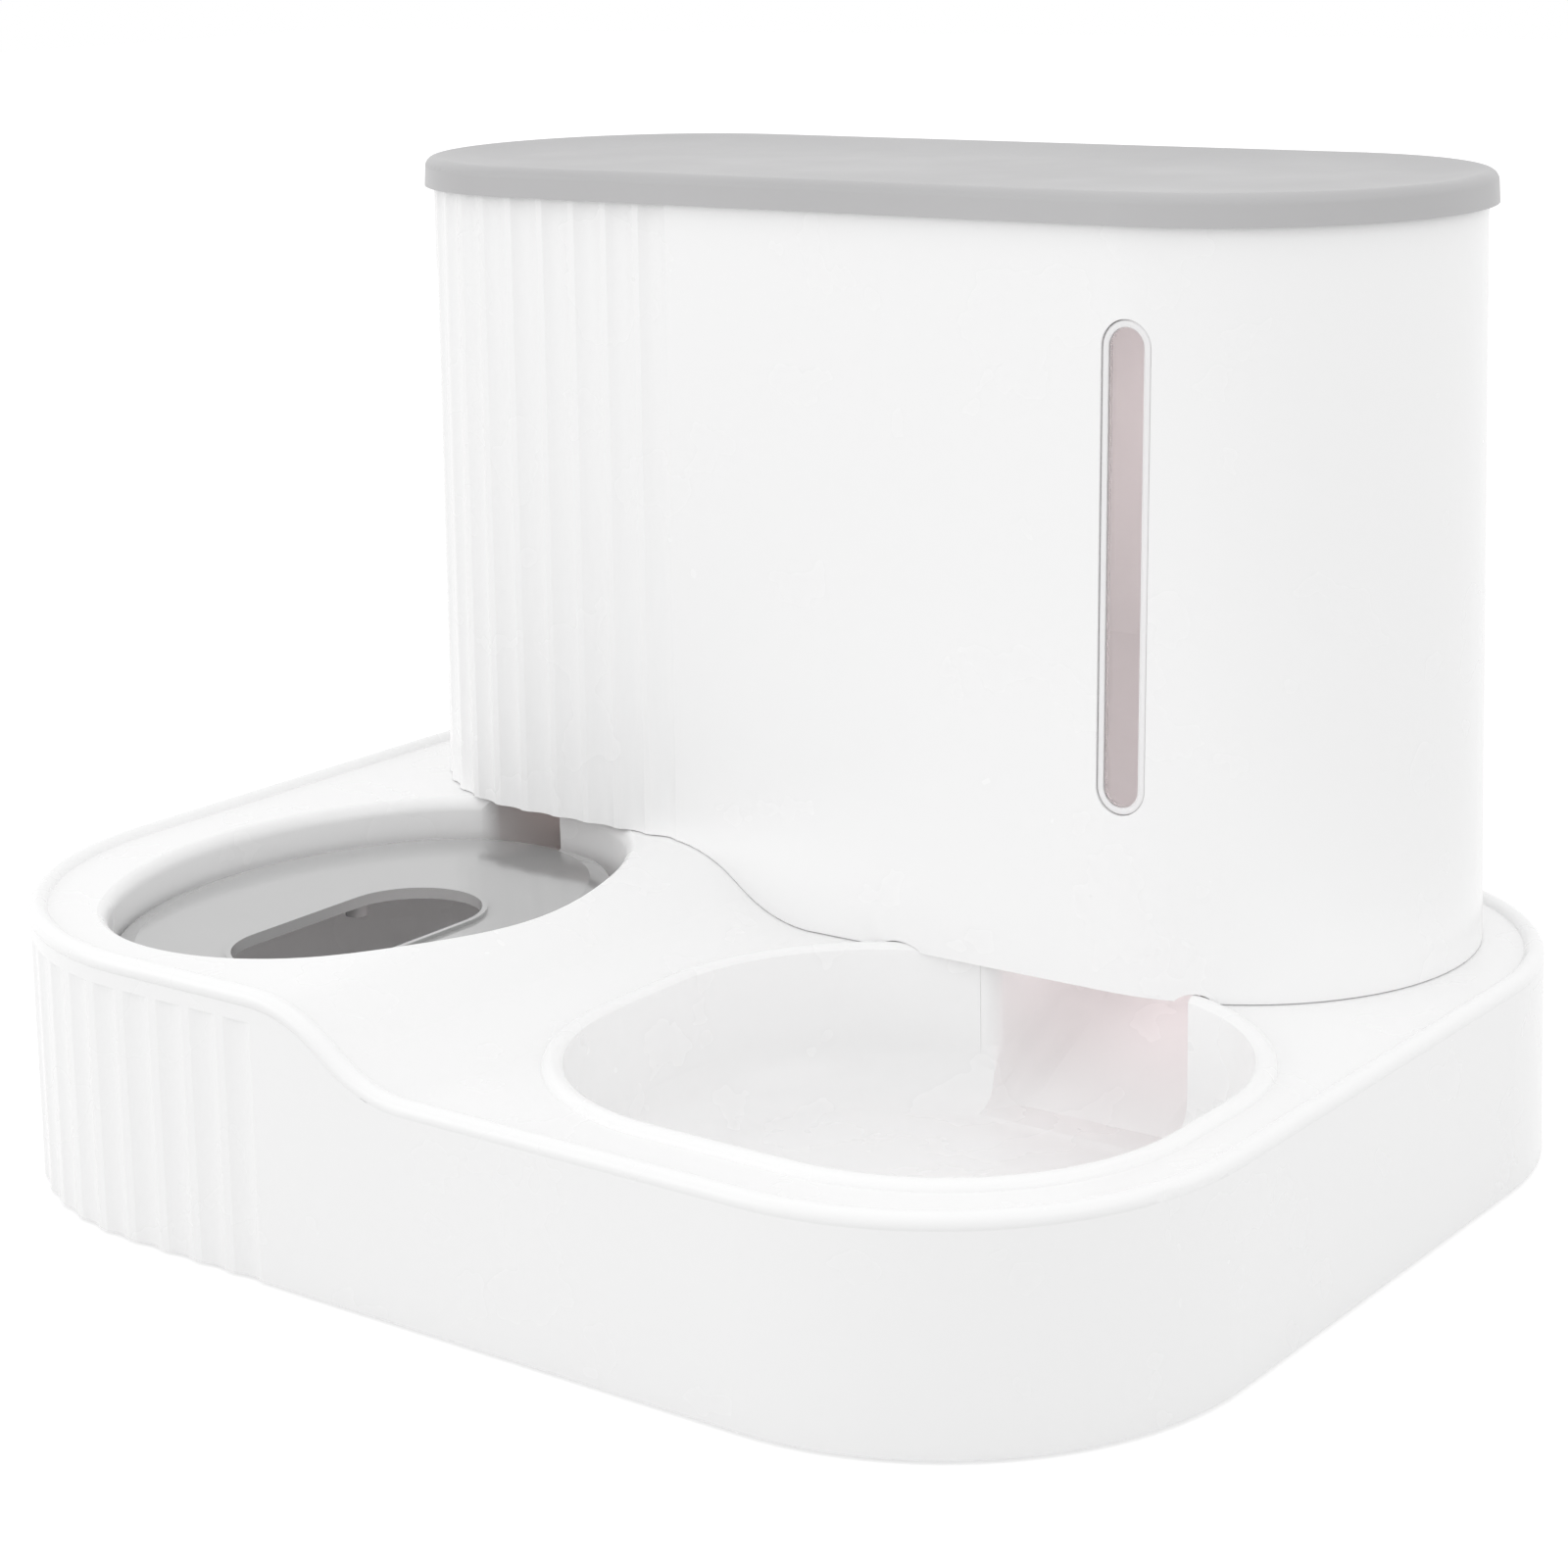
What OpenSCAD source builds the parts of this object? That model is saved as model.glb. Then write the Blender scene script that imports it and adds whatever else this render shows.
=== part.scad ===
// Pet food and water dispenser: a moulded tray with two bowls carries a tower that
// stores dry food on the right and a water bottle on the left.
// Millimetres, +Z up, front towards -Y, origin on the floor under the middle of the tray.

/* [Tray] */
// length of the tray along X, at the bottom edge
tray_l = 400; // [360:1:440]
// depth of the tray along Y, at the bottom edge
tray_d = 333; // [310:1:360]
// plan radius of the two corners at the water side
tray_r_left = 98; // [80:1:110]
// plan radius of the two corners at the food side
tray_r_right = 89; // [80:1:110]
// height of the deck at the water side
deck_left = 81.4; // [76:0.2:86]
// height of the deck at the food side
deck_right = 60.9; // [56:0.2:66]
// middle of the step between the two deck levels, along X
step_x = -25; // [-35:1:-15]
// straight length in the middle of the step
step_run = 6; // [3:0.5:10]
// wall thickness of the tray and the tower
wall = 2.6; // [2:0.1:3.4]
// how much the tray wall leans out for each millimetre downwards
tray_draft = 0.025; // [0.01:0.005:0.04]
// radius of the bead along the top edge of the tray
rim_r = 3; // [2.5:0.1:4]

/* [Flutes] */
// spacing of the upright flutes round the tray
tray_pitch = 13; // [11:0.5:16]
// spacing of the upright flutes round the tower
tower_pitch = 12.4; // [10:0.2:15]
// radius of the round tool that makes each flute
flute_r = 12; // [9:0.5:16]
// depth of each flute in the wall
flute_depth = 1.1; // [0.6:0.1:1.4]

/* [Food bowl] */
// middle of the food bowl along X
food_x = 88.25; // [84:0.25:92]
// middle of the food bowl along Y
food_y = -60.5; // [-64:0.5:-57]
// length of the bowl outside its bead, along X
food_l = 188.5; // [180:0.5:194]
// depth of the bowl outside its bead, along Y
food_d = 170; // [162:0.5:174]
// plan radius of the bowl corners outside the bead
food_r = 72; // [60:1:80]
// height of the bowl floor
food_floor = 18; // [14:0.5:24]
// radius between the bowl wall and its floor
food_fillet = 16; // [10:0.5:20]
// radius of the bead round the bowl
bead_r = 3.2; // [2.6:0.1:3.6]
// width of the open channel that brings food into the bowl
food_slot_w = 65.5; // [56:0.5:68]
// middle of that channel along X
food_slot_x = 97; // [90:0.5:100]
// back end of that channel along Y
food_slot_back = 94; // [86:0.5:104]
// radius of the upright edge where the bowl wall turns into the channel
food_port_r = 5; // [3:0.5:6]

/* [Water bowl] */
// middle of the water bowl along X
water_x = -105; // [-108:0.5:-103]
// middle of the water bowl along Y
water_y = -60; // [-62:0.5:-58]
// plan radius of the two ends of the bowl
water_end_r = 57; // [54:0.5:58]
// unit of the oval: its end arcs are centred 3 units out along Y, its side arcs 4 units out along X
water_unit = 9.5; // [8.5:0.5:10.5]
// height of the water bowl floor
water_floor = 31; // [27:0.5:36]
// radius of the rounded upper edge of the bowl
water_edge = 4.5; // [3:0.25:6]
// radius between the bowl wall and its floor at the water side
water_fillet = 12; // [8:0.5:16]
// width of the open channel that brings water into the bowl
water_slot_w = 24; // [20:0.5:28]
// middle of that channel along X
water_slot_x = -117.5; // [-120:0.5:-114]
// radius of the upright edge where the bowl wall turns into that channel
water_port_r = 8; // [6:0.5:9]
// middle of the round well under the bottle, along Y
well_y = 82; // [76:0.5:88]
// radius of the well
well_r = 28; // [26:0.5:31]

/* [Float] */
// top of the float plate as drawn
float_z = 71.4; // [66:0.2:74]
// thickness of the float plate
float_t = 2.4; // [2:0.1:3.2]
// width of the drinking opening in the plate
float_hole_w = 43; // [36:0.5:48]
// length of the drinking opening in the plate
float_hole_l = 86; // [74:0.5:92]

/* [Tower] */
// length of the tower at its foot, along X
tower_l = 358.6; // [340:0.2:370]
// depth of the tower at its foot, along Y
tower_d = 144.6; // [136:0.2:150]
// middle of the tower along X
tower_x = -2.3; // [-6:0.1:2]
// middle of the tower along Y
tower_y = 85.7; // [82:0.1:88]
// top edge of the tower
tower_top = 276.5; // [250:0.5:290]
// how much the tower wall leans out for each millimetre downwards
tower_draft = 0.0213; // [0.01:0.001:0.03]
// wall between the food side and the water side, along X
divider_x = -31; // [-36:0.5:-26]
// height of the shelf that carries the water bottle
shelf_z = 98; // [94:0.5:104]
// height at which the hopper walls start to lean in
hopper_z = 132; // [120:1:150]
// the same for the front wall of the hopper, below the window
hopper_front_z = 106; // [100:1:112]

/* [Windows] */
// width of each window over its border
window_w = 14.8; // [12:0.2:18]
// height of each window over its border
window_h = 136; // [120:1:150]
// middle of the windows above the floor
window_z = 180.6; // [170:0.2:190]
// place of the food window along X
window_x = 108; // [100:0.5:112]
// direction of the water window round the left end of the tower
window_angle = 217; // [205:1:225]

/* [Lid] */
// how far the lid stands out past the tower wall
lid_over = 3; // [2:0.1:4]
// thickness of the lid plate
lid_t = 2.6; // [2:0.1:3]
// height of the lid skirt below the rest face
lid_skirt = 3.4; // [2:0.1:5]
// height of the raised edge of the lid above the rest face
lid_crest = 5.4; // [4:0.1:7]
// radius of the rounded outer edge of the lid
lid_round = 3.2; // [2:0.1:4]
// radius of the hollow that falls from the raised edge to the plate
lid_dish = 60; // [30:1:90]

/* [Bottle] */
// gap between the bottle and the inside of the tower wall, at the foot of the tower
tank_gap = 12.7; // [11:0.1:16]
// plan radius of the two bottle corners beside the food store
tank_r_right = 44; // [41:0.5:50]
// radius of the rounded edges at the top and the bottom of the bottle
tank_edge = 8; // [5:0.5:12]
// height of the bottle body
tank_h = 156; // [130:1:164]
// wall thickness of the bottle
tank_wall = 1.6; // [1.2:0.1:2.2]
// radius of the bottle neck
neck_r = 20; // [18:0.5:21]

/* [Hidden] */
eps = 0.01;
fn_big = 72;
fn_mid = 32;
fn_small = 24;
ground = 1.2;
seat = 0.3;
core_gap = 1;
overlap = 4;
cross = 0.03;
window_ledge = 1.9;
window_sink = 2;
window_gap = 0.2;
window_flange = 0.8;
window_pane = 1.4;
window_frame_w = 3;
window_frame_t = 1.5;
window_turn = 1.4;
lid_lean = 0.4;
lid_skirt_t = 2.2;
plug_gap = 2.6;
plug_t = 2;
plug_h = 7;
plug_lip = 1.6;
tank_side_gap = 6;
cap_wall = 2.6;
seal_h = 3.4;
seal_drop = 1.2;
run_depth = 40;
tall = 400;
tray_top = 90;
x0 = -tray_l / 2;
x1 = tray_l / 2;
y0 = -tray_d / 2;
y1 = tray_d / 2;
step_angle = atan2(3, 4);
step_h = deck_left - deck_right;
step_r = (step_h - step_run * sin(step_angle)) / (2 * (1 - cos(step_angle)));
step_arc_w = step_r * sin(step_angle);
step_arc_h = step_r * (1 - cos(step_angle));
step_w = 2 * step_arc_w + step_run * cos(step_angle);
xa = step_x - step_w / 2;
xb = step_x + step_w / 2;
rim_drop = 0.8;
under_drop = 2.8;
in_left = tray_draft * (deck_left - ground);
in_right = tray_draft * (deck_right - ground);
in_side = tidy((in_left + in_right) / 2);
fx0 = food_x - food_l / 2;
fx1 = food_x + food_l / 2;
fy0 = food_y - food_d / 2;
fy1 = food_y + food_d / 2;
bead_bite = 0.5;
bowl_in = 2 * bead_r - bead_bite;
oval_angle = atan2(3, 4);
oval_c1 = 3 * water_unit;
oval_c2 = 4 * water_unit;
oval_side_r = water_end_r + 5 * water_unit;
water_a = water_end_r + water_unit;
water_b = water_end_r + oval_c1;
tower_r = tower_d / 2;
tx0 = tower_x - tower_l / 2;
tx1 = tower_x + tower_l / 2;
ty0 = tower_y - tower_r;
ty1 = tower_y + tower_r;
tower_foot = deck_right;
tower_lean = atan(tower_draft);
tray_lean = atan(tray_draft);
end_left_x = tx0 + tower_r;
foot_dip = 5;
foot_lift = tidy(tower_draft * foot_dip);
top_in = tidy(tower_draft * (tower_top - tower_foot));
slot_rise = 0.6;
slot_back_rise = 38;
slot_fillet = 12;
outlet_trim = 8;
outlet_w = food_slot_w - outlet_trim;
outlet_front = 26;
outlet_back = food_slot_back - 6;
spout_z = tower_foot + 3;
tank_r = tower_r - wall - tank_gap;
tank_right = divider_x - tank_side_gap;
tank_z = shelf_z + wall + seat;
neck_x = water_slot_x + 5;
neck_low = 66;
neck_wall = 2;
cap_r = neck_r + cap_wall;
well_floor = water_floor + 3;
cap_t = 2.4;
gasket_room = 3.6;
cap_h = 24;
cap_low = neck_low - cap_t - gasket_room;
cap_high = cap_low + cap_h;
guide_h = 19;
guide_roof = 3.6;
valve_hole = 4;
pin_r = 2.6;
pin_out = 8;
pin_l = 34;
pin_low = cap_low - pin_out;
pin_high = pin_low + pin_l;
head_r = 6.4;
head_t = 1.6;
head_lift = 6.6;
head_z = cap_low + cap_t + head_lift;
spring_coils = 4;
spring_wire = 0.45;
spring_r = 4.6;
spring_gap = 0.15;
spring_low = head_z + head_t + spring_wire + spring_gap;
spring_high = cap_low + cap_t + guide_h - guide_roof - spring_wire - spring_gap;
guide_r = 9;
float_trim = 3.4;
float_shift = seat - float_trim;
float_skirt = 4;
float_skirt_t = 1.8;
float_bevel_w = 6;
float_bevel_h = 1.8;
float_lip_t = 1.6;
float_hole_x = 15;
float_hole_y = -19.6;
float_peg_h = 5.5;
float_peg_r = 3.4;
float_lip_h = 1;
float_pegs = [[-15, 10], [-44, -20], [26, 46], [-12, 52], [-20, -62]];
foot_r = 8;
foot_h = 3;
foot_rim = 4;
foot_dish = 0.8;
post_wall = 1;
post_base = 4;
post_base_h = 8;
guide_wall = 1.6;
guide_hole = 2.4;
gasket_wall = 4;
gasket_trim = 0.2;
washer_t = 1.75;
washer_trim = 0.4;
grip_ribs = 24;
grip_r = 0.5;
shelf_hole_gap = 1.2;
tray_arc_gap = 0.1;
foot_places = [[x0 + 62, y0 + 60.5], [x1 - 56, y0 + 62.5], [x0 + 68, y1 - 38.5], [x1 - 68, y1 - 38.5]];
foot_tops = [water_floor - wall, food_floor - wall, deck_left - under_drop, deck_right - under_drop];
tray_flutes_straight = 4;
tray_flutes_corner = 12;
tray_flutes_side = 10;
tower_flutes_straight = 5;
tower_flutes_end = 18;

tray();
foot(0);  // foot_front_left
foot(1);  // foot_front_right
foot(2);  // foot_back_left
foot(3);  // foot_back_right
float_plate();
tower_shell();
food_window();
water_window();
lid();
lid_seal();
water_tank();
tank_cap();
cap_gasket();
valve_pin();
valve_spring();
valve_seal();

// ends of neighbouring pieces are kept on whole micrometres so that they meet exactly
function tidy(v) = round(v * 1000) / 1000;

// the middle of a rounded rectangle, as far out as the inner side of its run
module core(a, b, c, d) {
    g = run_depth - core_gap;
    translate([a + g, c + g]) square([b - a - 2 * g, d - c - 2 * g]);
}

// a profile carried round a rounded rectangle that has one radius at its left corners and one at its
// right corners; the profile's x is measured outwards from the outline
module run(a, b, c, d, rl, rr) {
    run_left(a, b - rr, c, d, rl) children();
    run_right(a + rl, b, c, d, rr, b - rr) children();
}

// the left end of such a run, with its two straight sides drawn as far as x_end
module run_left(a, x_end, c, d, rl) {
    translate([a + rl, d - rl, 0]) rotate(90) rotate_extrude(angle = 90, $fn = fn_big)
        translate([rl, 0]) children();
    translate([a + rl, c + rl, 0]) rotate(180) rotate_extrude(angle = 90, $fn = fn_big)
        translate([rl, 0]) children();
    if (d - c > 2 * rl + eps)
        translate([a, c + rl, 0]) rotate([90, 0, 180]) linear_extrude(d - c - 2 * rl) children();
    straight(a + rl, x_end, c, true) children();
    straight(a + rl, x_end, d, false) children();
}

// the right end of such a run; its straight sides belong to the left end
module run_right(x_start, b, c, d, rr, x_from) {
    translate([b - rr, c + rr, 0]) rotate(-90) rotate_extrude(angle = 90, $fn = fn_big)
        translate([rr, 0]) children();
    translate([b - rr, d - rr, 0]) rotate_extrude(angle = 90, $fn = fn_big) translate([rr, 0]) children();
    if (d - c > 2 * rr + eps)
        translate([b, d - rr, 0]) rotate([90, 0, 0]) linear_extrude(d - c - 2 * rr) children();
    if (x_from < b - rr - eps) {
        straight(x_from, b - rr, c, true) children();
        straight(x_from, b - rr, d, false) children();
    }
}

// one straight stretch of a run along X
module straight(xs, xe, y, front) {
    translate([xs, y, 0]) rotate([90, 0, 90]) linear_extrude(xe - xs) mirror([front ? 1 : 0, 0]) children();
}

// a profile carried round an oval made of four tangent arcs, each clipped where it meets the next
module oval_run(cx, cy) {
    reach = tall / 8;
    translate([cx, cy, 0]) for (s = [0, 180]) rotate(s) {
        intersection() {
            translate([0, oval_c1, 0]) rotate_extrude($fn = fn_big) translate([water_end_r, 0]) children();
            translate([0, oval_c1, -tall / 4]) linear_extrude(2 * tall)
                polygon([[0, 0], [4 * reach, 3 * reach], [-4 * reach, 3 * reach]]);
        }
        intersection() {
            translate([-oval_c2, 0, 0]) rotate(180) rotate_extrude($fn = fn_big)
                translate([oval_side_r, 0]) children();
            translate([-oval_c2, 0, -tall / 4]) linear_extrude(2 * tall)
                polygon([[0, 0], [4 * reach, -3 * reach], [4 * reach, 3 * reach]]);
        }
    }
}

// a solid box with a rounded plan and a rounded lower edge
module basin_form(a, b, c, d, r, z, e) {
    translate([0, 0, z]) {
        run(a, b, c, d, r, r) translate([-run_depth, 0]) difference() {
            square([run_depth, tall]);
            corner_cut(run_depth, e);
        }
        linear_extrude(tall) core(a, b, c, d);
    }
}

// what a fillet of radius e takes off the lower right corner of a profile of width w
module corner_cut(w, e) {
    difference() {
        translate([w - e, -eps]) square([e + eps, e + eps]);
        translate([w - e, e]) circle(e, $fn = fn_mid);
    }
}

// everything below the stepped deck, lowered by drop, as a profile in X and Z; its arcs cross the
// straight parts at a small angle
module below_deck(drop) {
    high = deck_left - drop;
    low = deck_right - drop;
    upper = [xa + step_arc_w, high - step_arc_h];
    lower = [xb - step_arc_w, low + step_arc_h];
    slope = (lower[1] - upper[1]) / (lower[0] - upper[0]);
    translate([-tall, -1]) square([tall + xa, high + 1]);
    translate([xa - overlap, -1]) square([step_arc_w + 2 * overlap, upper[1] - 2 * overlap + 1]);
    translate([xb - overlap, -1]) square([tall, low + 1]);
    intersection() {
        translate([xa, high - step_r + cross]) circle(step_r, $fn = fn_big);
        translate([xa - overlap, 0]) square([step_arc_w + 2 * overlap, tall]);
    }
    polygon([[upper[0], -1], upper, lower + overlap * [1, slope], [lower[0] + overlap, -1]]);
    difference() {
        translate([lower[0], -1]) square([step_arc_w, low + step_arc_h + 1 - 2 * cross]);
        translate([xb, low + step_r - cross]) circle(step_r, $fn = fn_big);
    }
}

module deck_form(drop) {
    translate([0, tall / 2, 0]) rotate([90, 0, 0]) linear_extrude(tall) below_deck(drop);
}

// the leaning block of the tray, drawn in by g
module tray_block(g) {
    h = tray_top - ground;
    translate([0, 0, ground]) {
        run(x0 + g, x1 - g, y0 + g, y1 - g, tray_r_left - g, tray_r_right - g)
            polygon([[0, 0], [-tray_draft * h, h], [-run_depth, h], [-run_depth, 0]]);
        linear_extrude(h) core(x0 + g, x1 - g, y0 + g, y1 - g);
    }
}

// the bead along the top edge, following the step at the front and the back
module rim() {
    gy = in_side + rim_r - bead_bite;
    gl = gy;
    gr = gy;
    translate([0, 0, deck_left - rim_drop])
        run_left(x0 + gl, xa, y0 + gy, y1 - gy, tray_r_left - gy) circle(rim_r, $fn = fn_small);
    translate([0, 0, deck_right - rim_drop])
        run_right(x0, x1 - gr, y0 + gy, y1 - gy, tray_r_right - gy, xb) circle(rim_r, $fn = fn_small);
    for (y = [y0 + gy, y1 - gy]) {
        translate([xa, y, deck_left - rim_drop - step_r]) rotate([90, 0, 0]) rotate(90 - step_angle)
            rotate_extrude(angle = step_angle, $fn = fn_big) translate([step_r, 0])
                circle(rim_r, $fn = fn_small);
        translate([xa + step_arc_w, y, deck_left - rim_drop - step_arc_h]) rotate([0, 90 + step_angle, 0])
            cylinder(h = step_run, r = rim_r, $fn = fn_small);
        translate([xb, y, deck_right - rim_drop + step_r]) rotate([90, 0, 0]) rotate(270 - step_angle)
            rotate_extrude(angle = step_angle, $fn = fn_big) translate([step_r, 0])
                circle(rim_r, $fn = fn_small);
    }
}

// one upright flute at the origin, its wall facing -Y and leaning by lean
module flute(h, lean) {
    rotate([-lean, 0, 0]) translate([0, -flute_r + flute_depth, -1])
        cylinder(h = h, r = flute_r, $fn = fn_mid);
}

module tray_flutes() {
    h = deck_left - ground - 2 * rim_r;
    cx = x0 + tray_r_left;
    for (m = [0, 1]) mirror([0, m, 0]) {
        for (k = [0 : tray_flutes_straight - 1]) translate([cx + tray_pitch * (k + 0.5), y0, ground])
            flute(h, tray_lean);
        for (k = [0 : tray_flutes_corner - 1])
            translate([cx, y0 + tray_r_left, ground]) rotate(-90 * (k + 0.5) / tray_flutes_corner)
                translate([0, -tray_r_left, 0]) flute(h, tray_lean);
    }
    for (k = [0 : tray_flutes_side - 1])
        translate([x0, (k - tray_flutes_side / 2 + 0.5) * tray_pitch, ground]) rotate(-90)
            flute(h, tray_lean);
}

// channel from the bowl to the foot of the hopper: a trough that rises towards the back
module food_slot(g) {
    front = fy1 - bowl_in - run_depth + core_gap;
    bend = fy1 - bowl_in + 1;
    slope = atan((slot_back_rise - slot_rise) / (food_slot_back - bend));
    intersection() {
        translate([food_slot_x, bend, food_floor + slot_rise]) rotate([90 + slope, 0, 0])
            translate([0, -g, -tall / 2]) linear_extrude(tall) trough(food_slot_w + 2 * g, slot_fillet + g);
        translate([food_slot_x - food_slot_w, front, food_floor + slot_rise - g])
            cube([2 * food_slot_w, food_slot_back + g - front, tall]);
    }
}

// section of the trough: its lower corners are rounded with radius r
module trough(w, r) {
    difference() {
        translate([-w / 2, 0]) square([w, tall]);
        for (m = [0, 1]) mirror([m, 0]) translate([w / 2 - r, r]) difference() {
            translate([0, -r - 1]) square(r + 1);
            circle(r + tray_arc_gap / 2, $fn = fn_mid);
        }
    }
}

// rounds the upright edge at the left of the food channel
module food_port() {
    r = food_port_r;
    translate([food_slot_x - food_slot_w / 2 - r, fy1 - bowl_in + r, food_floor + slot_rise])
        linear_extrude(tall) difference() {
            translate([0, -r - 1]) square([r + 1, r + 1]);
            circle(r + tray_arc_gap, $fn = fn_mid);
        }
}

// channel from the bowl to the well under the bottle
module water_slot(g) {
    translate([water_slot_x - water_slot_w / 2 - g, water_y + water_b - 14, well_floor - g])
        cube([water_slot_w + 2 * g, well_y - water_y - water_b + 14, tall]);
    translate([neck_x, well_y, well_floor - g]) cylinder(h = tall, r = well_r + g, $fn = fn_big);
}

// rounds the upright edge at the left of the water channel, between its wall and the end arc of the bowl
module water_port() {
    r = water_port_r;
    dx = water_slot_x - water_slot_w / 2 - r - water_x;
    dy = sqrt(pow(water_end_r + r, 2) - dx * dx);
    in = (r + 2) / (water_end_r + r);
    translate([water_x + dx, water_y + oval_c1 + dy, well_floor]) linear_extrude(tall) difference() {
        polygon([[0, 0], [-dx * in, -dy * in], [r + 1, -dy * in], [r + 1, 0]]);
        circle(r + tray_arc_gap, $fn = fn_mid);
    }
}

module water_form(g) {
    edge_z = deck_left + seat - water_edge - water_floor;
    translate([0, 0, water_floor - g]) {
        oval_run(water_x, water_y) difference() {
            union() {
                translate([g - run_depth, 0]) square([run_depth, tall]);
                if (g == 0) translate([-1, edge_z]) square([water_edge + 1, tall - edge_z]);
            }
            translate([-run_depth + g, 0]) corner_cut(run_depth, water_fillet + g);
            if (g == 0) translate([water_edge, edge_z]) circle(water_edge, $fn = fn_mid);
        }
        translate([water_x, water_y, 0]) linear_extrude(tall)
            core(-water_a - g, water_a + g, -water_b - g, water_b + g);
    }
}

module food_form(g) {
    in = bowl_in - g;
    basin_form(fx0 + in, fx1 - in, fy0 + in, fy1 - in, food_r - in,
        food_floor - g, food_fillet + g);
}

module tray() {
    color([0.95, 0.95, 0.94]) difference() {
        union() {
            difference() {
                intersection() {
                    tray_block(0);
                    deck_form(0);
                }
                tray_flutes();
                intersection() {
                    translate([0, 0, -1]) tray_block(wall);
                    deck_form(under_drop);
                }
            }
            intersection() {
                union() {
                    food_form(wall);
                    water_form(wall);
                    food_slot(wall);
                    water_slot(wall);
                }
                deck_form(under_drop - eps);
            }
            rim();
            translate([0, 0, deck_right - rim_drop])
                run(fx0 + bead_r, fx1 - bead_r, fy0 + bead_r, fy1 - bead_r, food_r - bead_r, food_r - bead_r)
                    circle(bead_r, $fn = fn_small);
            for (k = [0 : 3]) translate([foot_places[k][0], foot_places[k][1], ground])
                cylinder(h = foot_tops[k] - ground + 1, r = foot_r + wall, $fn = fn_mid);
        }
        food_form(0);
        water_form(0);
        food_slot(0);
        food_port();
        water_slot(0);
        water_port();
        for (k = [0 : 3]) translate([foot_places[k][0], foot_places[k][1], 0]) {
            cylinder(h = foot_h + seat, r = foot_r + seat, $fn = fn_mid);
            if (k > 1) translate([0, 0, foot_h + wall])
                cylinder(h = foot_tops[k] - foot_h - wall - 1, r = foot_r, $fn = fn_mid);
        }
    }
    color([0.95, 0.95, 0.94]) translate([neck_x, well_y, well_floor - 1]) {
        cylinder(h = pin_low - well_floor + 1 - seat, r = pin_r + post_wall, $fn = fn_small);
        cylinder(h = post_base_h, r = pin_r + post_base, $fn = fn_small);
    }
}

module foot(k) {
    color([0.25, 0.25, 0.26]) translate([foot_places[k][0], foot_places[k][1], 0]) difference() {
        cylinder(h = foot_h, r = foot_r, $fn = fn_mid);
        translate([0, 0, -1]) cylinder(h = 1 + foot_dish, r = foot_r - foot_rim, $fn = fn_small);
    }
}

// plate that floats in the water bowl: bevelled edge, skirt, short pegs and a lip round its opening
module float_plate() {
    low = float_z - float_t;
    out = -float_trim;
    color([0.62, 0.63, 0.64]) translate([0, float_shift, low]) {
        difference() {
            union() {
                oval_run(water_x, water_y) polygon([[-run_depth, 0], [out - float_skirt_t, 0],
                    [out - float_skirt_t, -float_skirt], [out, -float_skirt], [out, float_t - float_bevel_h],
                    [out - float_bevel_w, float_t], [-run_depth, float_t]]);
                translate([water_x, water_y, 0]) linear_extrude(float_t)
                    core(-water_a, water_a, -water_b, water_b);
                translate([water_x + float_hole_x, water_y + float_hole_y, 0])
                    linear_extrude(float_t + float_lip_h)
                    float_opening(float_lip_t);
            }
            translate([water_x + float_hole_x, water_y + float_hole_y, -float_skirt - 1]) linear_extrude(tall)
                float_opening(0);
        }
        for (p = float_pegs) translate([water_x + p[0], water_y + p[1], -float_peg_h])
            cylinder(h = float_peg_h + 1, r = float_peg_r, $fn = fn_small);
    }
}

module float_opening(g) {
    w = float_hole_w / 2;
    for (s = [-1, 1]) translate([0, s * (float_hole_l / 2 - w)]) circle(w + g, $fn = fn_big);
    square([float_hole_w + 2 * g, float_hole_l - float_hole_w], center = true);
}

// the leaning block of the tower, drawn in by g, from its foot to height top
module tower_block(g, top) {
    h = top - tower_foot + foot_dip;
    r = tower_r - g + foot_lift;
    translate([0, 0, tower_foot - foot_dip]) {
        run(tower_x - tower_l / 2 + tower_r - r, tx1 - tower_r + r, tower_y - r, tower_y + r, r, r)
            polygon([[0, 0], [-tower_draft * h, h], [-run_depth, h], [-run_depth, 0]]);
        linear_extrude(h) core(tx0 + g, tx1 - g, ty0 + g, ty1 - g);
    }
}

module tower_flutes() {
    h = tower_top - tower_foot + 8;
    z = tower_foot - 2;
    for (m = [0, 1]) translate([0, tower_y, 0]) mirror([0, m, 0])
        for (k = [0 : tower_flutes_straight - 1])
            translate([end_left_x + tower_pitch * (k + 0.5), -tower_r, z]) flute(h, tower_lean);
    for (k = [0 : tower_flutes_end - 1])
        translate([end_left_x, tower_y, z]) rotate(-180 * (k + 0.5) / tower_flutes_end)
            translate([0, -tower_r, 0]) flute(h, tower_lean);
}

// a funnel with flat walls, grown outwards by g
module funnel(g) {
    low = spout_z - eps;
    intersection() {
        translate([0, tall, 0]) rotate([90, 0, 0]) linear_extrude(2 * tall) polygon([
            [food_slot_x - outlet_w / 2 - g, low], [food_slot_x + outlet_w / 2 + g, low],
            [tx1 + 2 * g, hopper_z], [tx1 + 2 * g, hopper_z + 1],
            [divider_x - 2 * g, hopper_z + 1], [divider_x - 2 * g, hopper_z]]);
        rotate([90, 0, 90]) translate([0, 0, -tall]) linear_extrude(2 * tall) polygon([
            [outlet_front - g, low], [outlet_back + g, low], [ty1 + 2 * g, hopper_z],
            [ty1 + 2 * g, hopper_z + 1], [ty0 + 1 - g, hopper_z + 1], [ty0 + 1 - g, hopper_front_z]]);
    }
}

module slot_shape(w, h) {
    for (s = [-1, 1]) translate([0, s * (h - w) / 2]) circle(w / 2, $fn = fn_mid);
    square([w, h - w], center = true);
}

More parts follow.
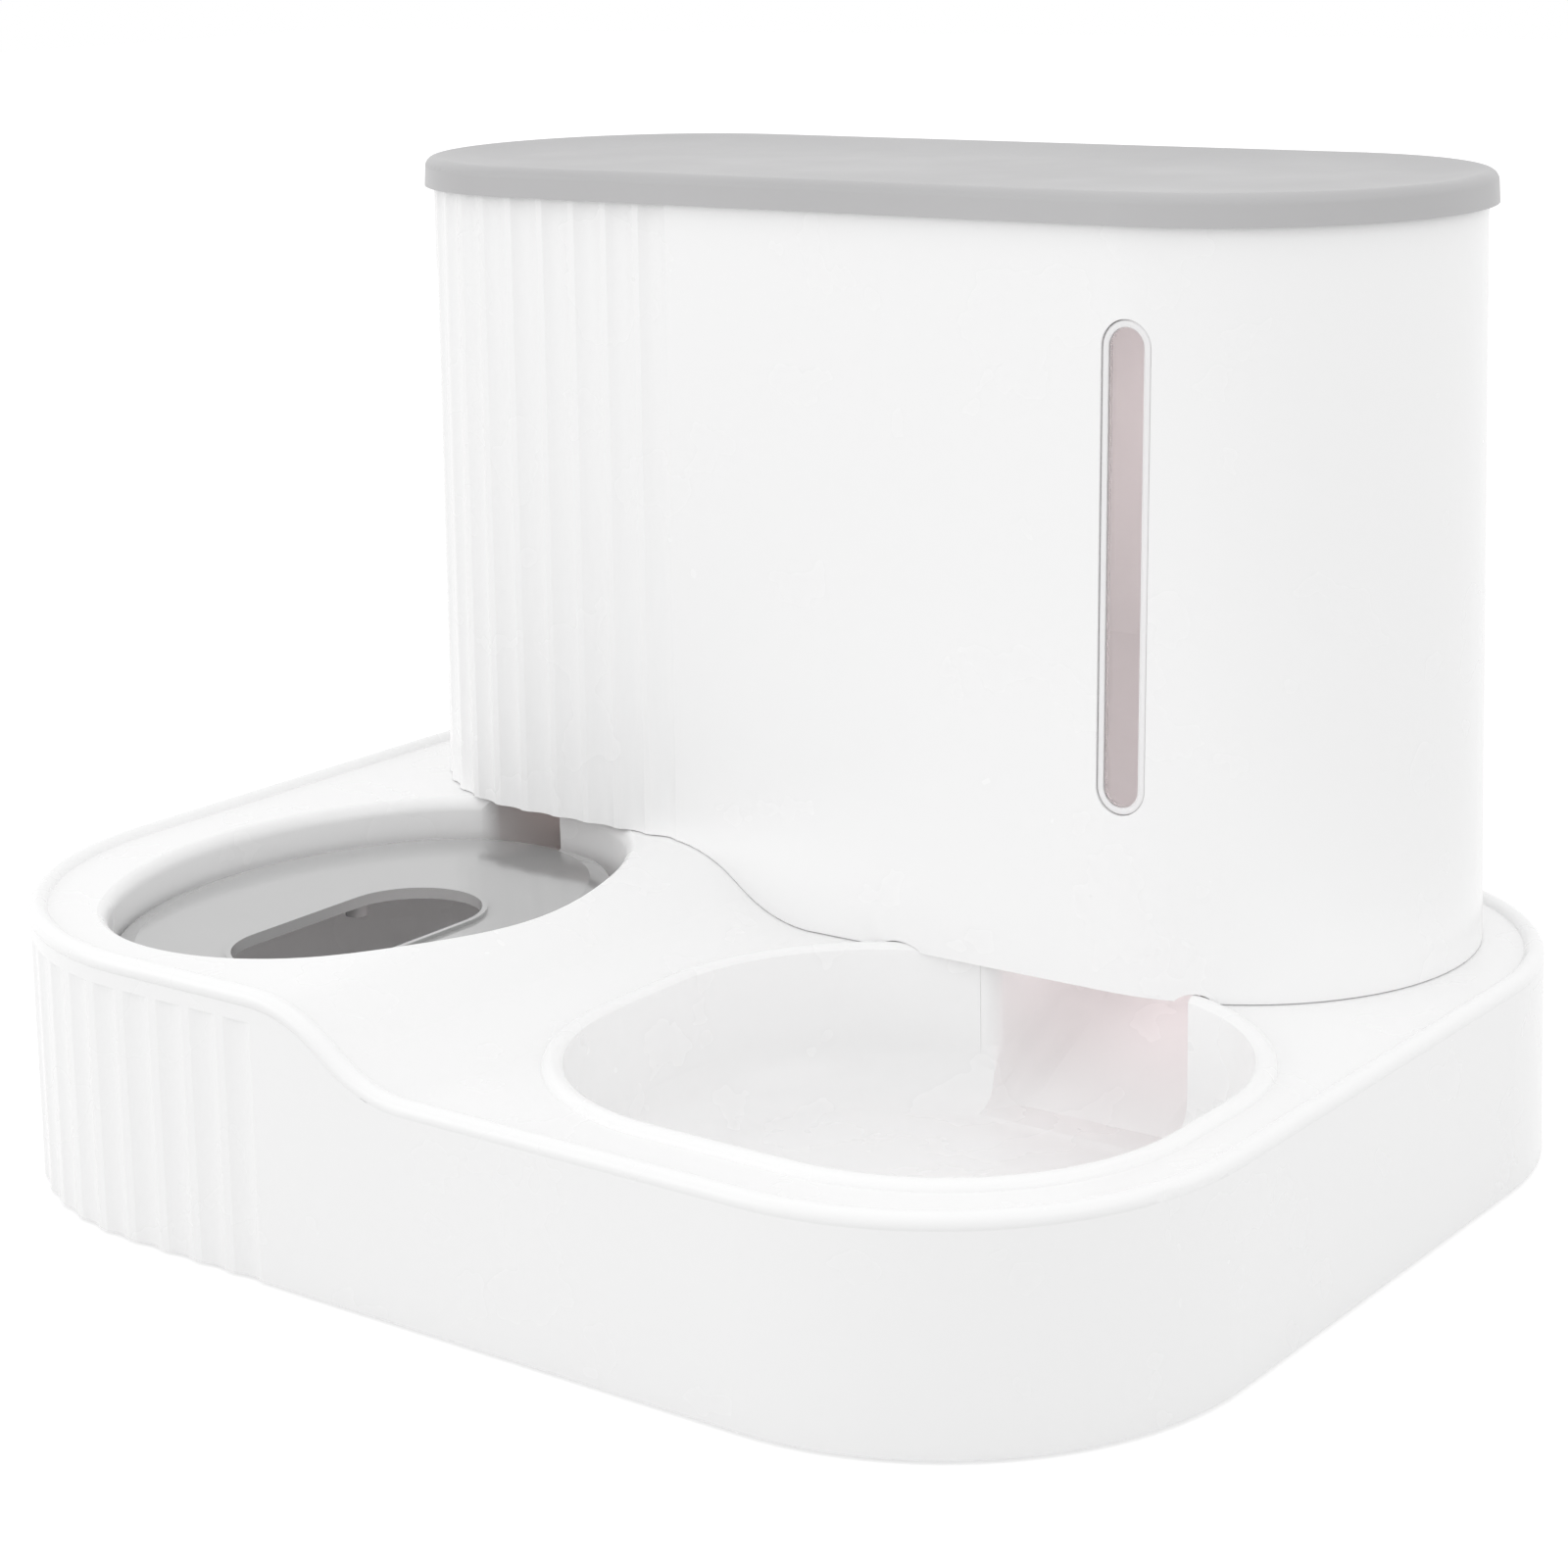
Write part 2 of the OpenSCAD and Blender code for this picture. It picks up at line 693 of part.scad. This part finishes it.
// moves a window drawn at the origin, facing -Y, to its place in the tower wall
module at_food_window() {
    translate([window_x, ty0 + tower_draft * (window_z - tower_foot), window_z])
        rotate([-tower_lean, 0, window_turn]) children();
}

module at_water_window() {
    translate([end_left_x, tower_y, window_z]) rotate(window_angle - 270)
        translate([0, -tower_r + tower_draft * (window_z - tower_foot), 0]) rotate([-tower_lean, 0, 0])
            children();
}

// recess for a window and the opening behind it
module window_cut() {
    rotate([90, 0, 0]) {
        translate([0, 0, -3 * wall]) linear_extrude(4 * wall)
            slot_shape(window_w - 2 * window_ledge, window_h - 2 * window_ledge);
        translate([0, 0, -window_sink]) linear_extrude(4 * wall)
            slot_shape(window_w + 2 * window_gap, window_h + 2 * window_gap);
    }
}

// frame inside the wall that carries the ledge of a window
module window_frame() {
    rotate([90, 0, 0]) translate([0, 0, -wall - window_frame_t]) linear_extrude(window_frame_t + 0.5)
        slot_shape(window_w + 2 * window_frame_w, window_h + 2 * window_frame_w);
}

// a window: a flange on the ledge of the recess and a pane that fills the opening
module lens() {
    pane = 2 * (window_ledge + window_gap);
    rotate([90, 0, 0]) {
        translate([0, 0, window_gap - window_sink]) linear_extrude(window_flange)
            slot_shape(window_w, window_h);
        translate([0, 0, -window_sink - window_pane]) linear_extrude(window_pane + window_gap + eps)
            slot_shape(window_w - pane, window_h - pane);
    }
}

module tower_shell() {
    color([0.96, 0.96, 0.95]) difference() {
        union() {
            difference() {
                tower_block(0, tower_top);
                tower_flutes();
                translate([0, 0, -1]) tower_block(wall, tower_top + 3);
            }
            intersection() {
                tower_block(wall - 0.5, tower_top - 8);
                union() {
                    translate([divider_x, ty0, shelf_z]) cube([wall, tower_d, tower_top - shelf_z - 8]);
                    translate([tx0, ty0, shelf_z]) cube([divider_x - tx0 + wall, tower_d, wall]);
                    difference() {
                        intersection() {
                            funnel(wall);
                            translate([divider_x, ty0, 0]) cube([tall, tower_d, tall]);
                        }
                        funnel(0);
                    }
                }
            }
            at_food_window() window_frame();
            at_water_window() window_frame();
        }
        deck_form(-seat);
        translate([neck_x, well_y, shelf_z - 1])
            cylinder(h = wall + 2, r = cap_r + shelf_hole_gap, $fn = fn_big);
        translate([0, 0, deck_right - rim_drop])
            run(fx0 + bead_r, fx1 - bead_r, fy0 + bead_r, fy1 - bead_r, food_r - bead_r, food_r - bead_r)
                circle(bead_r + seat, $fn = fn_small);
        at_food_window() window_cut();
        at_water_window() window_cut();
    }
}

module food_window() {
    color([0.85, 0.85, 0.87, 0.5]) at_food_window() lens();
}

module water_window() {
    color([0.85, 0.85, 0.87, 0.5]) at_water_window() lens();
}

// a run round the tower mouth, drawn in by g from the outside of the wall at its top
module mouth_run(g) {
    in = top_in + g;
    translate([0, 0, tower_top]) run(tx0 + in, tx1 - in, ty0 + in, ty1 - in, tower_r - in, tower_r - in)
            children();
}

// the lid edge in profile: skirt, rounded shoulder and the hollow that falls to the plate
module lid_edge() {
    cx = lid_over - lid_lean - lid_round;
    cz = lid_crest - lid_round;
    dish_h = lid_crest - lid_t;
    dish_x = cx - 0.4 - tidy(sqrt(2 * lid_dish * dish_h - dish_h * dish_h));
    polygon([[-run_depth, 0], [-run_depth, lid_t], [cx, lid_t], [cx, cz], [cx + lid_round, cz],
        [lid_over, -lid_skirt], [lid_over - lid_skirt_t, -lid_skirt], [lid_over - lid_skirt_t, 0]]);
    intersection() {
        translate([cx, cz]) circle(lid_round, $fn = fn_big);
        translate([cx - eps, cz - eps]) square(lid_round + 1);
    }
    difference() {
        translate([dish_x, lid_t - eps]) square([cx - dish_x, dish_h + eps]);
        translate([dish_x, lid_t + lid_dish]) circle(lid_dish, $fn = 4 * fn_big);
    }
}

module lid() {
    color([0.62, 0.62, 0.62]) {
        translate([0, 0, seat]) {
            mouth_run(0) lid_edge();
            translate([0, 0, tower_top]) linear_extrude(lid_t)
                core(tx0 + top_in, tx1 - top_in, ty0 + top_in, ty1 - top_in);
            mouth_run(wall) translate([-plug_gap - plug_t, -plug_h]) square([plug_t, plug_h + eps]);
            mouth_run(wall) translate([-plug_gap - eps, -plug_h]) square([plug_lip + eps, plug_lip]);
        }
    }
}

// soft ring in the groove of the lid plug
module lid_seal() {
    color([0.9, 0.9, 0.9]) translate([0, 0, seat])
        mouth_run(wall) translate([-plug_gap + seat / 2, -seal_h - seal_drop])
            square([plug_gap - seat, seal_h]);
}

module water_tank() {
    color([0.86, 0.9, 0.93, 0.6]) difference() {
        union() {
            tank_form(0);
            translate([neck_x, well_y, neck_low])
                cylinder(h = tank_z - neck_low + 4, r = neck_r, $fn = fn_mid);
        }
        tank_form(tank_wall);
        translate([neck_x, well_y, neck_low - 1])
            cylinder(h = tank_z - neck_low + 6, r = neck_r - neck_wall, $fn = fn_mid);
    }
}

module tank_form(g) {
    y_low = tower_y - tank_r + g;
    y_high = tower_y + tank_r - g;
    x_low = end_left_x - tank_r + g;
    translate([0, 0, tank_z + g]) {
        run(x_low, tank_right - g, y_low, y_high, tank_r - g, min(tank_r_right, tank_r) - g)
            translate([-run_depth, 0]) difference() {
            square([run_depth, tank_h - 2 * g]);
            corner_cut(run_depth, tank_edge - g);
            translate([0, tank_h - 2 * g]) mirror([0, 1]) corner_cut(run_depth, tank_edge - g);
        }
        linear_extrude(tank_h - 2 * g) core(x_low, tank_right - g, y_low, y_high);
    }
}

module tank_cap() {
    color([0.93, 0.93, 0.93]) translate([neck_x, well_y, 0]) difference() {
        union() {
            translate([0, 0, cap_low]) cylinder(h = cap_high - cap_low, r = cap_r, $fn = fn_mid);
            for (k = [0 : grip_ribs - 1]) rotate(360 / grip_ribs * k) translate([cap_r, 0, cap_low])
                cylinder(h = cap_high - cap_low - 2, r = grip_r, $fn = 16);
        }
        translate([0, 0, cap_low + cap_t]) cylinder(h = tall, r = neck_r + seat, $fn = fn_mid);
        translate([0, 0, cap_low - 1]) cylinder(h = cap_t + 2, r = valve_hole, $fn = fn_small);
    }
    color([0.93, 0.93, 0.93]) translate([neck_x, well_y, cap_low + cap_t - eps]) difference() {
        cylinder(h = guide_h, r = guide_r, $fn = fn_small);
        translate([0, 0, -1])
            cylinder(h = guide_h - guide_roof + 1, r = guide_r - guide_wall, $fn = fn_small);
        cylinder(h = guide_h + 1, r = pin_r + seat + 0.1, $fn = fn_small);
        for (k = [0 : 2]) rotate(120 * k) translate([guide_r - 1, 0, 4]) rotate([0, 90, 0])
            cylinder(h = 6, r = guide_hole, center = true, $fn = fn_small);
    }
}

module cap_gasket() {
    color([0.8, 0.8, 0.8]) translate([neck_x, well_y, cap_low + cap_t + seat]) difference() {
        cylinder(h = neck_low - cap_low - cap_t - 2 * seat, r = neck_r - gasket_trim, $fn = fn_mid);
        translate([0, 0, -1]) cylinder(h = 8, r = neck_r - gasket_wall, $fn = fn_mid);
    }
}

// plunger held up by the post in the well while the bottle is in place
module valve_pin() {
    color([0.92, 0.92, 0.92]) translate([neck_x, well_y, 0]) {
        translate([0, 0, pin_low]) cylinder(h = pin_high - pin_low, r = pin_r, $fn = fn_small);
        translate([0, 0, head_z]) cylinder(h = head_t, r = head_r, $fn = fn_small);
    }
}

module valve_spring() {
    steps = spring_coils * 18;
    ring = 8;
    points = [for (i = [0 : steps]) for (j = [0 : ring - 1])
        let (a = 20 * i, b = 360 * j / ring, r = spring_r + spring_wire * cos(b))
        [r * cos(a), r * sin(a), spring_low + (spring_high - spring_low) * i / steps + spring_wire * sin(b)]];
    sides = [for (i = [0 : steps - 1]) for (j = [0 : ring - 1])
        [i * ring + j, i * ring + (j + 1) % ring, (i + 1) * ring + (j + 1) % ring, (i + 1) * ring + j]];
    ends = [[for (j = [0 : ring - 1]) ring - 1 - j], [for (j = [0 : ring - 1]) steps * ring + j]];
    color([0.7, 0.7, 0.72]) translate([neck_x, well_y, 0])
        polyhedron(points, concat(sides, ends), convexity = 10);
}

module valve_seal() {
    color([0.3, 0.3, 0.3]) translate([neck_x, well_y, head_z - washer_t - 0.05]) difference() {
        cylinder(h = washer_t, r = head_r - washer_trim, $fn = fn_small);
        translate([0, 0, -1]) cylinder(h = 4, r = pin_r + 0.05, $fn = fn_small);
    }
}
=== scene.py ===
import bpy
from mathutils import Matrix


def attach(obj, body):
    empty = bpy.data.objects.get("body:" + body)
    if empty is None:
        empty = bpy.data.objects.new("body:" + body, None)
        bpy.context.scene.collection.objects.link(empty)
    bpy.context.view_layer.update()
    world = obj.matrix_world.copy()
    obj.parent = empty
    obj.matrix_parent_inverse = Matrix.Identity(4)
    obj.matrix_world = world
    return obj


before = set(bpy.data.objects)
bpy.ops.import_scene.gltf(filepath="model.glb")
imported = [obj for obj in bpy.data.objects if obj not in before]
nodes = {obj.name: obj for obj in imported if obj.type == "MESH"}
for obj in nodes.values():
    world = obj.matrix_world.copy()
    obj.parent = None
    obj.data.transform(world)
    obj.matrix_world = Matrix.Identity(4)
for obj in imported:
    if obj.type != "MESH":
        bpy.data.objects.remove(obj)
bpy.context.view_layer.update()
import math

import bpy
from mathutils import Matrix, Vector

scene = bpy.context.scene


# materials

def new_material(name):
    m = bpy.data.materials.new(name)
    m.use_nodes = True
    tree = m.node_tree
    tree.nodes.clear()
    out = tree.nodes.new("ShaderNodeOutputMaterial")
    shader = tree.nodes.new("ShaderNodeBsdfPrincipled")
    tree.links.new(shader.outputs["BSDF"], out.inputs["Surface"])
    return m, tree, shader


def noise(tree, scale, detail=3.0):
    where = tree.nodes.new("ShaderNodeTexCoord")
    n = tree.nodes.new("ShaderNodeTexNoise")
    n.inputs["Scale"].default_value = scale
    n.inputs["Detail"].default_value = detail
    tree.links.new(where.outputs["Object"], n.inputs["Vector"])
    return n.outputs["Fac"]


# most values of a noise lie between these two
noise_low, noise_high = 0.3, 0.7


def ramp(tree, fac, low, high):
    """A colour that follows a noise from low to high."""
    r = tree.nodes.new("ShaderNodeValToRGB")
    r.color_ramp.elements[0].position = noise_low
    r.color_ramp.elements[1].position = noise_high
    r.color_ramp.elements[0].color = (*low, 1)
    r.color_ramp.elements[1].color = (*high, 1)
    tree.links.new(fac, r.inputs["Fac"])
    return r.outputs["Color"]


def spread(tree, fac, low, high):
    """A number that follows a noise from low to high."""
    m = tree.nodes.new("ShaderNodeMapRange")
    m.inputs["From Min"].default_value = noise_low
    m.inputs["From Max"].default_value = noise_high
    m.inputs["To Min"].default_value = low
    m.inputs["To Max"].default_value = high
    tree.links.new(fac, m.inputs["Value"])
    return m.outputs["Result"]


def grain(tree, shader, scale, height):
    """A fine grain in the surface; the height is in metres."""
    b = tree.nodes.new("ShaderNodeBump")
    b.inputs["Strength"].default_value = 0.35
    b.inputs["Distance"].default_value = height
    tree.links.new(noise(tree, scale, detail=2.0), b.inputs["Height"])
    tree.links.new(b.outputs["Normal"], shader.inputs["Normal"])


def mixed(tree, fac, first, second):
    """Ends a node tree in the first shader where fac is 0 and in the second where it is 1."""
    mix = tree.nodes.new("ShaderNodeMixShader")
    tree.links.new(fac, mix.inputs["Fac"])
    tree.links.new(first, mix.inputs[1])
    tree.links.new(second, mix.inputs[2])
    out = next(n for n in tree.nodes if n.type in ("OUTPUT_MATERIAL", "OUTPUT_WORLD"))
    tree.links.new(mix.outputs["Shader"], out.inputs["Surface"])


def plastic(name, low, high, rough, grain_scale, grain_height, coat=0.0, drift=0.12):
    """A moulded plastic: colour that drifts a little, uneven gloss and a fine grain."""
    m, tree, s = new_material(name)
    tree.links.new(ramp(tree, noise(tree, 9.0), low, high), s.inputs["Base Color"])
    gloss = spread(tree, noise(tree, 35.0), rough * (1 - drift), rough * (1 + drift))
    tree.links.new(gloss, s.inputs["Roughness"])
    grain(tree, s, grain_scale, grain_height)
    s.inputs["IOR"].default_value = 1.49
    s.inputs["Coat Weight"].default_value = coat
    s.inputs["Coat Roughness"].default_value = 0.12
    return m


def clear(name, tint, rough, amount):
    """A clear plastic with faint flow marks, whose shadow is only tinted."""
    m, tree, s = new_material(name)
    color = ramp(tree, noise(tree, 14.0), [c * 0.98 for c in tint], tint)
    tree.links.new(color, s.inputs["Base Color"])
    tree.links.new(spread(tree, noise(tree, 40.0), rough * 0.8, rough * 1.3), s.inputs["Roughness"])
    s.inputs["IOR"].default_value = 1.45
    s.inputs["Transmission Weight"].default_value = amount
    let_by = tree.nodes.new("ShaderNodeBsdfTransparent")
    tree.links.new(color, let_by.inputs["Color"])
    path = tree.nodes.new("ShaderNodeLightPath")
    mixed(tree, path.outputs["Is Shadow Ray"], s.outputs["BSDF"], let_by.outputs["BSDF"])
    return m


def steel(name):
    m, tree, s = new_material(name)
    tree.links.new(ramp(tree, noise(tree, 300.0), (0.5, 0.5, 0.52), (0.62, 0.62, 0.64)), s.inputs["Base Color"])
    tree.links.new(spread(tree, noise(tree, 120.0), 0.25, 0.38), s.inputs["Roughness"])
    s.inputs["Metallic"].default_value = 1.0
    return m


white = plastic("white_plastic", (0.936,) * 3, (0.94,) * 3, 0.27, 900.0, 0.000001, drift=0.03)
lid_grey = plastic("lid_grey", (0.462, 0.459, 0.464), (0.502, 0.499, 0.504), 0.42, 700.0, 0.00006)
float_grey = plastic("float_grey", (0.385,) * 3, (0.41,) * 3, 0.1, 500.0, 0.000005, coat=0.6)
silicone = plastic("silicone", (0.72,) * 3, (0.78,) * 3, 0.55, 700.0, 0.00002)
rubber = plastic("rubber_dark", (0.03,) * 3, (0.05,) * 3, 0.7, 800.0, 0.00005)
lens = clear("lens_clear", (0.99, 0.965, 0.965), 0.05, 0.92)
# near-white and only a little clear: painted highlight and painted light for the window rims
rim_pale_highlight = clear("rim_pale_highlight", (0.97, 0.965, 0.97), 0.08, 0.1)
bottle = clear("bottle_clear", (0.88, 0.92, 0.95), 0.2, 0.9)
spring = steel("spring_steel")


# looks of the CAD nodes

looks = {
    white: ["tray", "tower_shell", "tank_cap", "valve_pin"],
    lid_grey: ["lid"],
    float_grey: ["float_plate"],
    silicone: ["lid_seal", "cap_gasket"],
    rubber: ["foot_front_left", "foot_front_right", "foot_back_left", "foot_back_right", "valve_seal"],
    spring: ["valve_spring"],
    lens: ["food_window", "water_window"],
    bottle: ["water_tank"],
}
# edges sharper than this many degrees stay sharp
node_edge, piece_edge = 32, 50

for material, names in looks.items():
    for name in names:
        node = nodes[name]
        node.data.materials.clear()
        node.data.materials.append(material)
        node.data.shade_smooth()
        node.data.set_sharp_from_angle(angle=math.radians(node_edge))


# meshes

def skin(rows, n, closed):
    """Faces between rows of n points each; a closed skin also joins the last row to the first."""
    faces = []
    for i in range(rows if closed else rows - 1):
        here, there = i * n, (i + 1) % rows * n
        for j in range(n):
            k = (j + 1) % n
            faces.append((here + j, here + k, there + k, there + j))
    return faces


def new_object(name, verts, faces, material):
    mesh = bpy.data.meshes.new(name)
    mesh.from_pydata(verts, [], faces)
    mesh.validate()
    o = bpy.data.objects.new(name, mesh)
    scene.collection.objects.link(o)
    mesh.materials.append(material)
    mesh.shade_smooth()
    return o


def add_piece(name, verts, faces, material):
    """A piece of the dispenser that is made here and not in the CAD part."""
    o = new_object(name, verts, faces, material)
    o.data.set_sharp_from_angle(angle=math.radians(piece_edge))
    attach(o, "dispenser")


# blend where the fillet of the food bowl turns round the upright edge of the food channel

def port_blend():
    """Fills the edge in mm: rounded at the top as above it, sharp where the two fillets flare to the floor.

    The bowl wall runs along x and leans a little; the channel wall runs along y.
    """
    wall_y, wall_at_x, wall_lean = 18.1, 58.0, 0.14
    channel_x, channel_end_x = 64.25, 66.5
    floor_z, bowl_fillet, channel_fillet = 18.0, 16.0, 12.0
    # from this point back, the floor of the channel climbs
    bend_y, bend_z, climb = 19.1, 18.6, 0.4993
    bottom, sharp_up_to, round_from, top = 18.1, 28.4, 36.0, 38.0
    sharp_r, round_r, round_step = 0.4, 5.0, 0.22
    # how far the blend stands out, and how much of that is gone at the top
    proud_low, proud_drop = 0.12, 0.13
    # on the left the blend starts sunk in the bowl wall and comes out of it at meet_x
    left_x, meet_x, sunk, meet_share = 54.5, 57.0, 0.1, 0.4
    # its back lies inside the tray's wall
    inner_x, inner_y, back_y = 62.1, 20.2, 24.4
    channel_ys = (19.7, 20.5, 21.5, 22.5, 23.4, back_y)
    rows, arc, mm = 44, 10, 0.001

    def fillet_edge(radius, height):
        """How far a fillet reaches from its tangent line, at a height above the floor."""
        drop = min(max(radius - height, 0.0), radius)
        return radius - math.sqrt(radius ** 2 - drop ** 2)

    def channel_at(y, z, proud):
        above = (z - bend_z - climb * (y - bend_y)) / math.sqrt(1 + climb ** 2)
        return min(channel_x + fillet_edge(channel_fillet, above) + proud, channel_end_x)

    verts = []
    for i in range(rows + 1):
        z = bottom + (top - bottom) * i / rows
        t = min(max((z - sharp_up_to) / (round_from - sharp_up_to), 0.0), 1.0)
        ease = t * t * (3 - 2 * t)
        proud = proud_low - proud_drop * ease
        r = sharp_r + (round_r - sharp_r) * ease
        wall = wall_y - fillet_edge(bowl_fillet, z - floor_z)
        x = channel_at(wall, z, proud)
        y = wall + wall_lean * (x - r - wall_at_x) + round_step * ease - proud
        ring = [(left_x, wall + wall_lean * (left_x - wall_at_x) + sunk)]
        ring.append((meet_x, wall + wall_lean * (meet_x - wall_at_x) - meet_share * proud))
        for k in range(arc + 1):
            a = math.radians(-90 + 90 * k / arc)
            ring.append((x - r + r * math.cos(a), y + r + r * math.sin(a)))
        for side_y in channel_ys:
            past_round = side_y > y + r
            ring.append((channel_at(side_y, z, proud), side_y) if past_round else (x, y + r))
        ring += [(inner_x, back_y), (inner_x, inner_y), (left_x, inner_y)]
        verts += [(u * mm, v * mm, z * mm) for u, v in ring]
    n = len(ring)
    faces = skin(rows + 1, n, closed=False)
    faces.append(tuple(reversed(range(n))))
    faces.append(tuple(rows * n + j for j in range(n)))
    add_piece("food_port_blend", verts, faces, white)


port_blend()


# moulded rims of the two windows, near-white and nearly opaque: painted highlight on the window edges and
# painted light on their borders

def rim_ring(name, place, half_w, half_h, wide, high):
    """A flattened bead along an upright slot with half-round ends.

    half_w and half_h are the slot's, wide and high are half the bead's own width and height.
    """
    turns, ring = 24, 16
    path = []
    for side, start in ((1, 0.0), (-1, math.pi)):
        for k in range(turns + 1):
            a = start + math.pi * k / turns
            x, z = math.cos(a), math.sin(a)
            path.append((half_w * x, side * (half_h - half_w) + half_w * z, x, z))
    verts = []
    for x, z, out_x, out_z in path:
        for k in range(ring):
            a = 2 * math.pi * k / ring
            across, proud = wide * math.cos(a), high * math.sin(a)
            verts.append(tuple(place @ Vector((x + out_x * across, proud, z + out_z * across))))
    add_piece(name, verts, skin(len(path), ring, closed=True), rim_pale_highlight)


def about_z(degrees):
    return Matrix.Rotation(math.radians(degrees), 4, "Z")


window_x, window_z = 0.108, 0.1806
# the front of the tower wall at that height, and the middle of the tower's round end
wall_y, end_x, end_y = 0.01595, -0.1093, 0.0857
end_r = end_y - wall_y
# how much the tower wall leans in for each metre upwards, and how far a window's face lies behind it
tower_draft, face_depth = 0.0213, 0.001
# the way that the water window faces, and the slight turn of the food window
water_facing, food_turn = 217, 1.4
wall_place = Matrix.Rotation(-math.atan(tower_draft), 4, "X") @ Matrix.Translation((0, face_depth, 0))
food_place = Matrix.Translation((window_x, wall_y, window_z)) @ about_z(food_turn) @ wall_place
water_place = (Matrix.Translation((end_x, end_y, window_z)) @ about_z(water_facing - 270)
               @ Matrix.Translation((0, -end_r, 0)) @ wall_place)
# the wide rim is painted light on each window's border, the thin bead a painted highlight line along its edge
for name, place in (("food_window", food_place), ("water_window", water_place)):
    rim_ring(name + "_rim", place, half_w=0.0064, half_h=0.067, wide=0.00095, high=0.0003)
    rim_ring(name + "_highlight_bead", place, half_w=0.0056, half_h=0.0662, wide=0.0002, high=0.00045)


# floor and world

def seen_directly(tree):
    """1 for rays that show the background itself: to the camera, in a gloss or through clear plastic."""
    path = tree.nodes.new("ShaderNodeLightPath")
    seen = path.outputs["Is Camera Ray"]
    for ray in ("Is Glossy Ray", "Is Transmission Ray"):
        either = tree.nodes.new("ShaderNodeMath")
        either.operation = "MAXIMUM"
        tree.links.new(seen, either.inputs[0])
        tree.links.new(path.outputs[ray], either.inputs[1])
        seen = either.outputs["Value"]
    return seen


def paper(name):
    """Pale paper that is white where nothing shades it, and keeps a soft shadow under the object."""
    m, tree, s = new_material(name)
    s.inputs["Roughness"].default_value = 0.9
    s.inputs["Specular IOR Level"].default_value = 0.1
    tree.links.new(ramp(tree, noise(tree, 3.0), (0.65,) * 3, (0.67,) * 3), s.inputs["Base Color"])
    shaded = tree.nodes.new("ShaderNodeBsdfDiffuse")
    tree.links.new(ramp(tree, noise(tree, 3.0), (0.49,) * 3, (0.5,) * 3), shaded.inputs["Color"])
    glow = tree.nodes.new("ShaderNodeEmission")
    glow.inputs["Strength"].default_value = 0.66
    both = tree.nodes.new("ShaderNodeAddShader")
    tree.links.new(shaded.outputs["BSDF"], both.inputs[0])
    tree.links.new(glow.outputs["Emission"], both.inputs[1])
    mixed(tree, seen_directly(tree), s.outputs["BSDF"], both.outputs["Shader"])
    return m


reach = 6.0
corners = [(-reach, -reach, 0.0), (reach, -reach, 0.0), (reach, reach, 0.0), (-reach, reach, 0.0)]
floor = new_object("floor", corners, [(0, 1, 2, 3)], paper("floor_paper"))


def white_world():
    """A white background, and soft white light on the object from all round."""
    world = bpy.data.worlds.new("studio")
    scene.world = world
    world.use_nodes = True
    tree = world.node_tree
    tree.nodes.clear()
    tree.nodes.new("ShaderNodeOutputWorld")
    soft = tree.nodes.new("ShaderNodeBackground")
    seen = tree.nodes.new("ShaderNodeBackground")
    for background in (soft, seen):
        background.inputs["Color"].default_value = (1, 1, 1, 1)
        background.inputs["Strength"].default_value = 1.0
    mixed(tree, seen_directly(tree), soft.outputs["Background"], seen.outputs["Background"])


white_world()


# lamps

aim = Vector((0, 0, 0.1))


def soft_box(name, at, size, power):
    d = bpy.data.lights.new(name, "AREA")
    d.shape = "RECTANGLE"
    d.size, d.size_y = size
    d.energy = power
    o = bpy.data.objects.new(name, d)
    o.location = at
    o.rotation_mode = "QUATERNION"
    o.rotation_quaternion = (Vector(at) - aim).to_track_quat("Z", "Y")
    scene.collection.objects.link(o)


soft_box("key_left", (-1.3, -1.5, 0.6), (1.4, 1.0), 4.5)
soft_box("fill_right", (1.9, -0.4, 1.3), (1.2, 1.2), 2.5)


def through_walls(name, at, power, size, color):
    """Stands for the light that the thin white walls let through into a hollow."""
    d = bpy.data.lights.new(name, "POINT")
    d.energy = power
    d.color = color
    d.shadow_soft_size = size
    o = bpy.data.objects.new(name, d)
    o.location = at
    o.visible_camera = False
    o.visible_glossy = False
    o.visible_transmission = False
    scene.collection.objects.link(o)


pink = (1.0, 0.88, 0.89)
through_walls("light_in_store", (0.06, 0.085, 0.2), 0.06, 0.03, (1.0, 0.85, 0.86))
through_walls("light_in_spout", (0.1, 0.046, 0.07), 0.018, 0.012, pink)
through_walls("light_in_well", (-0.112, 0.06, 0.085), 0.004, 0.008, (1.0, 0.72, 0.66))
through_walls("light_under_float", (-0.1, -0.05, 0.055), 0.005, 0.01, pink)


# camera, fitted to the edges of the photograph

azimuth, pitch, roll = math.radians(37.13), math.radians(15.145), math.radians(1.39)
look = Vector((-math.sin(azimuth) * math.cos(pitch), math.cos(azimuth) * math.cos(pitch), -math.sin(pitch)))
level = Vector((math.cos(azimuth), math.sin(azimuth), 0))
down = look.cross(level)
picture_right = math.cos(roll) * level + math.sin(roll) * down
picture_down = -math.sin(roll) * level + math.cos(roll) * down
turn = Matrix((picture_right, -picture_down, -look)).transposed().to_4x4()

camera = bpy.data.objects.new("camera", bpy.data.cameras.new("camera"))
scene.collection.objects.link(camera)
camera.matrix_world = Matrix.Translation((0.56845, -0.74596, 0.3632)) @ turn
camera.data.sensor_width = 36.0
camera.data.lens = 76.57
camera.data.clip_start = 0.05
camera.data.clip_end = 60.0
scene.camera = camera

scene.view_settings.view_transform = "Standard"
